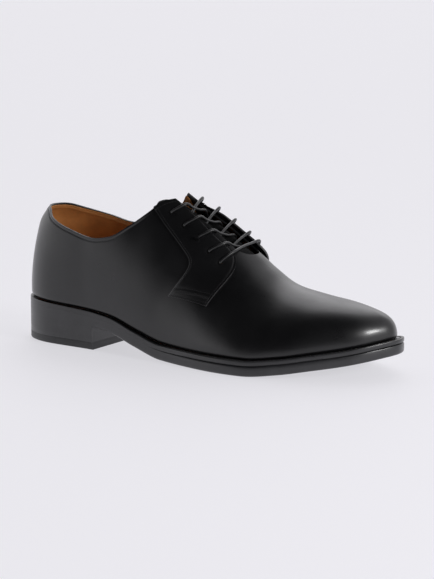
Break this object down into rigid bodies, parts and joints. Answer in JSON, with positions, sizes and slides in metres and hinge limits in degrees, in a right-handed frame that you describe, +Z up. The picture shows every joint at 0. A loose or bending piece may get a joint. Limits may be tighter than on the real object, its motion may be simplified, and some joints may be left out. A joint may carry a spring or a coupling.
{
  "type": "derby shoe",
  "caption": "Lace-up derby shoe for the right foot in smooth leather, on a welted sole with a low block heel; it stands on its heel and forefoot.",
  "frame": {"origin": "on the floor, under the middle of the sole's length and width", "axes": "+X from the heel to the toe, +Y to the inner side of the foot, +Z up"},
  "size_m": [0.305, 0.105, 0.1168],
  "materials": {
    "heel_rubber": "matt black rubber",
    "sole_edge": "dark grey, satin",
    "welt_leather": "black, waxed",
    "lining_leather": "tan, matt",
    "upper_leather": "black smooth calf, satin gloss",
    "facing_leather": "black smooth calf, satin gloss",
    "tongue_leather": "black smooth calf, satin gloss",
    "lace_cord": "black waxed cotton"
  },
  "bodies": {
    "root": {"heel_top_piece": "heel_rubber", "heel_block": "sole_edge", "outsole": "sole_edge", "welt": "welt_leather", "insole": "lining_leather", "upper": "upper_leather", "facing_outer": "facing_leather", "facing_inner": "facing_leather", "tongue": "tongue_leather", "lace_bar": "lace_cord", "lace_cross_1": "lace_cord", "lace_cross_2": "lace_cord", "lace_cross_3": "lace_cord", "lace_cross_4": "lace_cord"}
  },
  "joints": []
}
